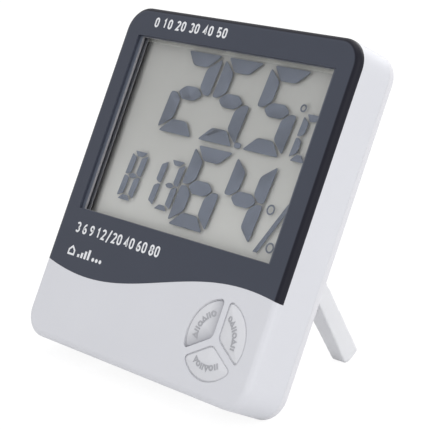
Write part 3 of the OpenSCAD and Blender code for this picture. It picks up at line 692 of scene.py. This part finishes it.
def inset(ring, away):
    """A convex outline drawn in by a distance."""
    return [Vector(p) for p in offset_line([tuple(p) for p in ring], away, True)]


def edge_distance(ring, point):
    """Distance of a point inside a convex outline to its nearest side."""
    away = []
    for k, a in enumerate(ring):
        side = (ring[(k + 1) % len(ring)] - a).normalized()
        away.append(abs(side.x * (point.y - a.y) - side.y * (point.x - a.x)))
    return min(away)


def key_sink(node, point):
    """How far the top falls towards the rib: the tilted key turns about its outer arc."""
    if node != TILTED_KEY:
        return 0.0
    away = point - Vector((KEYS_U, KEYS_V))
    turn = math.radians(KEY_TURNS[node])
    out = math.cos(turn) * away.x + math.sin(turn) * away.y
    return KEY_SINK * min(1.0, max(0.0, 1 - out / KEYS_R))


def key_height(node, rim, point):
    """How far the key's top stands proud at a point."""
    share = min(1.0, edge_distance(rim, point) / KEY_BAND)
    rise = KEY_EDGE_RISE + (KEY_RISE - KEY_EDGE_RISE) * math.sin(share * math.pi / 2)
    return rise - key_sink(node, point)


def key_piece(node):
    """The key's cap: a skirt, a flange, a rounded edge and a domed top. It returns the top's rim."""
    flange = TILTED_FLANGE if node == TILTED_KEY else KEY_FLANGE
    outline = refine(key_top_outline(node), KEY_STEP)
    wide = inset(outline, -KEY_GAP)
    rim = inset(outline, KEY_ROUND)
    centre = sum(outline, Vector((0, 0))) / len(outline)
    rows = [[(p, KEY_SKIRT) for p in wide]]
    rows += [[(p, flange + key_sink(node, p)) for p in ring] for ring in (wide, outline)]
    for k in range(KEY_ROUND_STEPS):
        a = math.radians(90 * k / KEY_ROUND_STEPS)
        ring = inset(outline, KEY_ROUND * (1 - math.cos(a)))
        rows.append([(p, KEY_ROUND * (1 - math.sin(a)) - KEY_EDGE_RISE + key_sink(node, p)) for p in ring])
    for k in range(KEY_RINGS):
        ring = [p.lerp(centre, k / KEY_RINGS) for p in rim]
        rows.append([(p, -key_height(node, rim, p)) for p in ring])
    bm = bmesh.new()
    verts = [[bm.verts.new(place(p.x, d, p.y)) for p, d in row] for row in rows]
    tip = bm.verts.new(place(centre.x, -key_height(node, rim, centre), centre.y))
    count = len(outline)
    for k in range(count):
        m = (k + 1) % count
        for low, high in zip(verts, verts[1:]):
            bm.faces.new((low[k], low[m], high[m], high[k]))
        bm.faces.new((verts[-1][k], verts[-1][m], tip))
    bm.faces.new(verts[0])
    material = "key_tilted_painted_shade" if node == TILTED_KEY else "key_plastic"
    made = piece(node + "_cap", bm, material, node, KEY_SHARP)
    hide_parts(node)
    return rim


def key_marks(node, rim):
    """Small raised generic marks along the key's outer arc, coloured a darker grey as painted shade."""

    def spot(u, d, v):
        return place(u, d - key_height(node, rim, Vector((u, v))), v)

    p = Print(-MARK_RAISE, MARK_SINK, spot)
    for k in range(MARKS):
        turn = math.radians(KEY_TURNS[node] + MARKS_TURN * (k - (MARKS - 1) / 2))
        out = Vector((math.cos(turn), math.sin(turn)))
        along = Vector((-out.y, out.x))
        at = Vector((KEYS_U, KEYS_V)) + MARKS_R * out
        kind = (k + list(KEY_TURNS).index(node)) % 3
        if kind == 0:
            p.line(arc(*at, RING_R, count=16), MARK_STROKE, closed=True)
        elif kind == 1:
            for side in (at - along * PAIR_HALF, at + along * PAIR_HALF):
                p.line([side - out * PAIR_REACH, side + out * PAIR_REACH], MARK_BAR_W)
        else:
            foot = at - out * TRIANGLE_FOOT
            p.line([at + out * TRIANGLE_TIP, foot + along * TRIANGLE_HALF, foot - along * TRIANGLE_HALF],
                   MARK_STROKE, closed=True)
    piece(node + "_marks", p.bm, "key_mark_painted_shade", node)


for key_node in KEY_TURNS:
    key_marks(key_node, key_piece(key_node))


# The stand with softened edges

WELD = 0.001
SKIN_GRID = 0.32
RELAX_FACTOR = 0.5
RELAX_STEPS = 7
KEPT_SHARE = 0.35


def softened_copy(node, name, material):
    """A shown copy of a CAD node whose edges are rounded: its skin is rebuilt on a fine grid and relaxed."""
    mesh = bpy.data.meshes.new(name)
    bm = bmesh.new()
    bm.from_mesh(frame["nodes"][node].data)
    bmesh.ops.remove_doubles(bm, verts=bm.verts, dist=WELD * MM)
    bm.to_mesh(mesh)
    bm.free()
    obj = shown(name, mesh, MATERIALS[material])
    grid = obj.modifiers.new("skin", "REMESH")
    grid.mode = "VOXEL"
    grid.voxel_size = SKIN_GRID * MM
    grid.use_smooth_shade = True
    relax = obj.modifiers.new("relax", "SMOOTH")
    relax.factor = RELAX_FACTOR
    relax.iterations = RELAX_STEPS
    thin = obj.modifiers.new("thin", "DECIMATE")
    thin.ratio = KEPT_SHARE
    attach(obj, node)
    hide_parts(node)


softened_copy("stand", "stand_soft", "stand_plastic")


# The window's rims: the step that carries the clear window, painted lighter as painted light, and the seal
# behind the window, whose dark colour is partly painted shade. Their thin pale lips are painted highlights.
# An edge is given by how far it lies inside the window's outline, across and up

TOUCH = (0.005, 0.005)
STEP_EDGE = (1.3, 0.15)
STEP_LIP = (1.44, 0.27)
SEAL_EDGE = (2.1, -0.35)
SEAL_LIP = (2.24, -0.25)
SEAL_OUT = (-0.9, -0.9)
STEP_DEPTHS = (1.0, WINDOW_FRONT - 0.05)
LIP_DEPTHS = (1.05, WINDOW_FRONT - 0.01)
SEAL_DEPTHS = (WINDOW_BACK + 0.06, CELL_FRONT - 0.01)
SEAL_LIP_DEPTHS = (WINDOW_BACK + 0.02, CELL_FRONT - 0.03)


def frame_outline(edge):
    half_w, half_h = WINDOW_HALF_W - edge[0], WINDOW_HALF_H - edge[1]
    return [(-half_w, WINDOW_MID - half_h), (half_w, WINDOW_MID - half_h),
            (half_w, WINDOW_MID + half_h), (-half_w, WINDOW_MID + half_h)]


def window_frame(name, inside, outside, depths, material):
    """A band round the window between two edges and two depths."""
    bm = bmesh.new()
    strip(bm, frame_outline(inside), frame_outline(outside), *depths, True)
    piece(name, bm, material, "case")


window_frame("window_step", STEP_EDGE, TOUCH, STEP_DEPTHS, "step_plastic_painted_light")
window_frame("window_rim_highlight", STEP_LIP, STEP_EDGE, LIP_DEPTHS, "rim_painted_highlight")
window_frame("seal", SEAL_EDGE, SEAL_OUT, SEAL_DEPTHS, "seal_rubber_and_shade")
window_frame("seal_rim_highlight", SEAL_LIP, SEAL_EDGE, SEAL_LIP_DEPTHS, "rim_painted_highlight")


# The back: dark crosses painted on the case screws as the shade in their cross recesses, and the grip on the
# battery door

# The turn of each screw, by its side and its end of the case
RECESS_TURNS = {(-1, -1): 12, (-1, 1): 50, (1, -1): 33, (1, 1): 71}
RECESS_ARM = 0.85
RECESS_W = 0.42
RECESS_SINK = 0.005
RECESS_PROUD = 0.02
HEAD_FLAT = 0.02
GRIP_SINK = 0.06
GRIP_PROUD = 0.22
RIDGES = 5
RIDGE_UP = 5.0
RIDGE_STEP = 1.5
RIDGE_W = 0.7
RIDGE_HALF = 4.6
RIDGE_LESS = 0.25
ARROW_TIP = 15.2
ARROW_FOOT = 17.6
ARROW_HALF = 1.6
ARROW_W = 0.45


def screw_recesses():
    """A dark flat cross on each screw's head, painted shade where the cross-shaped hollow would be, each
    screw turned its own way.
    """
    spots = [on_case(v.co) for v in frame["nodes"]["case_screws"].data.vertices]
    back = max(d for u, d, v in spots)
    heads = [Vector((u, v)) for u, d, v in spots if d > back - HEAD_FLAT]
    p = Print(back - RECESS_SINK, back + RECESS_PROUD)
    for (side, end), turn in RECESS_TURNS.items():
        near = [spot for spot in heads if spot.x * side > 0 and spot.y * end > 0]
        at = sum(near, Vector((0, 0))) / len(near)
        for quarter in (0, 90):
            a = math.radians(turn + quarter)
            arm = Vector((math.cos(a), math.sin(a))) * RECESS_ARM
            p.line([at - arm, at + arm], RECESS_W)
    piece("screw_recesses", p.bm, "recess", "case")


def door_grip():
    """Ridges for a fingertip, and an arrow that points down the door."""
    low = case_span("battery_door", UP)[0]
    back = case_span("battery_door", DEPTH)[1]
    p = Print(back - GRIP_SINK, back + GRIP_PROUD)
    for k in range(RIDGES):
        half = RIDGE_HALF - RIDGE_LESS * abs(k - RIDGES // 2)
        up = low + RIDGE_UP + RIDGE_STEP * k
        p.line([(half, up), (-half, up)], RIDGE_W)
    p.line([(0, low + ARROW_TIP), (-ARROW_HALF, low + ARROW_FOOT), (ARROW_HALF, low + ARROW_FOOT)],
           ARROW_W, closed=True)
    piece("door_grip", p.bm, "cover_plastic", "battery_door")


screw_recesses()
door_grip()


# Finishes of the CAD nodes

for subpart in frame["record"]["subparts"]:
    node_object = frame["nodes"][subpart["node"]]
    finish = MATERIALS[subpart["material_slot"]]
    if node_object.material_slots:
        for material_slot in node_object.material_slots:
            material_slot.material = finish
    else:
        node_object.data.materials.append(finish)


# Floor, lights and camera. Lengths are in metres here, apart from the camera's place on the case

FLOOR_HALF = 4.0
FLOOR_COLOUR = (0.82, 0.82, 0.82)
WHITE = (1, 1, 1)
FLOOR_GLOW = 1.12
FLOOR_GLOW_SHARE = 0.8
STUDIO_LIGHT = 0.80
LAMP_TARGET = Vector((0, 0, 0.05))
LAMPS = {
    "key": dict(at=(0.1, -1.3, 0.9), size=1.1, power=1.6),
    "side": dict(at=(1.2, -0.1, 0.6), size=1.2, power=4.6),
    "top": dict(at=(0.0, 0.3, 1.3), size=0.9, power=3.0),
    "back": dict(at=(-0.2, 1.1, 0.6), size=0.8, power=3.0),
}

# The camera was fitted to the straight edges of the case in the photograph
CAMERA_AT = place(359.26, -328.739, -27.964)
CAMERA_LOOK = Vector((-0.72123, 0.64575, -0.25067))
CAMERA_LENS = 139.63
CAMERA_SENSOR = 36.0
CLEAR_LAYERS = 24


def make_floor():
    """A pale floor that looks white, with the object's shadow on it."""
    n = material_nodes("floor")
    path = n.add("ShaderNodeLightPath").outputs
    seen = n.math("MAXIMUM", path["Is Camera Ray"], path["Is Glossy Ray"])
    seen = n.math("MAXIMUM", seen, path["Is Transmission Ray"])
    matt = n.add("ShaderNodeBsdfDiffuse", Color=FLOOR_COLOUR)
    glow = n.add("ShaderNodeEmission", Color=WHITE, Strength=FLOOR_GLOW)
    material = n.finish(n.mix_shaders(n.math("MULTIPLY", seen, FLOOR_GLOW_SHARE), matt, glow))
    bm = bmesh.new()
    bmesh.ops.create_grid(bm, x_segments=4, y_segments=4, size=FLOOR_HALF)
    mesh = bpy.data.meshes.new("floor")
    bm.to_mesh(mesh)
    bm.free()
    shown("floor", mesh, material)


def make_world():
    """An even studio light that the camera sees as white."""
    world = bpy.data.worlds.new("studio")
    bpy.context.scene.world = world
    n = Nodes(world, "ShaderNodeOutputWorld")
    light = n.add("ShaderNodeBackground", Color=WHITE, Strength=STUDIO_LIGHT)
    seen = n.add("ShaderNodeBackground", Color=WHITE)
    n.finish(n.mix_shaders(n.add("ShaderNodeLightPath").outputs["Is Camera Ray"], light, seen))


def soft_light(name, at, size, power):
    light = bpy.data.lights.new(name, "AREA")
    light.shape = "SQUARE"
    light.size = size
    light.energy = power
    obj = bpy.data.objects.new(name, light)
    bpy.context.scene.collection.objects.link(obj)
    obj.location = at
    obj.rotation_mode = "QUATERNION"
    obj.rotation_quaternion = (Vector(at) - LAMP_TARGET).to_track_quat("Z", "Y")


def make_camera():
    camera = bpy.data.cameras.new("camera")
    camera.lens = CAMERA_LENS
    camera.sensor_width = CAMERA_SENSOR
    obj = bpy.data.objects.new("camera", camera)
    bpy.context.scene.collection.objects.link(obj)
    obj.location = CAMERA_AT
    obj.rotation_mode = "QUATERNION"
    obj.rotation_quaternion = CAMERA_LOOK.to_track_quat("-Z", "Y")
    bpy.context.scene.camera = obj


make_floor()
make_world()
for lamp_name, lamp in LAMPS.items():
    soft_light(lamp_name, **lamp)
make_camera()

bpy.context.scene.view_settings.view_transform = "Standard"
bpy.context.scene.cycles.transparent_max_bounces = CLEAR_LAYERS
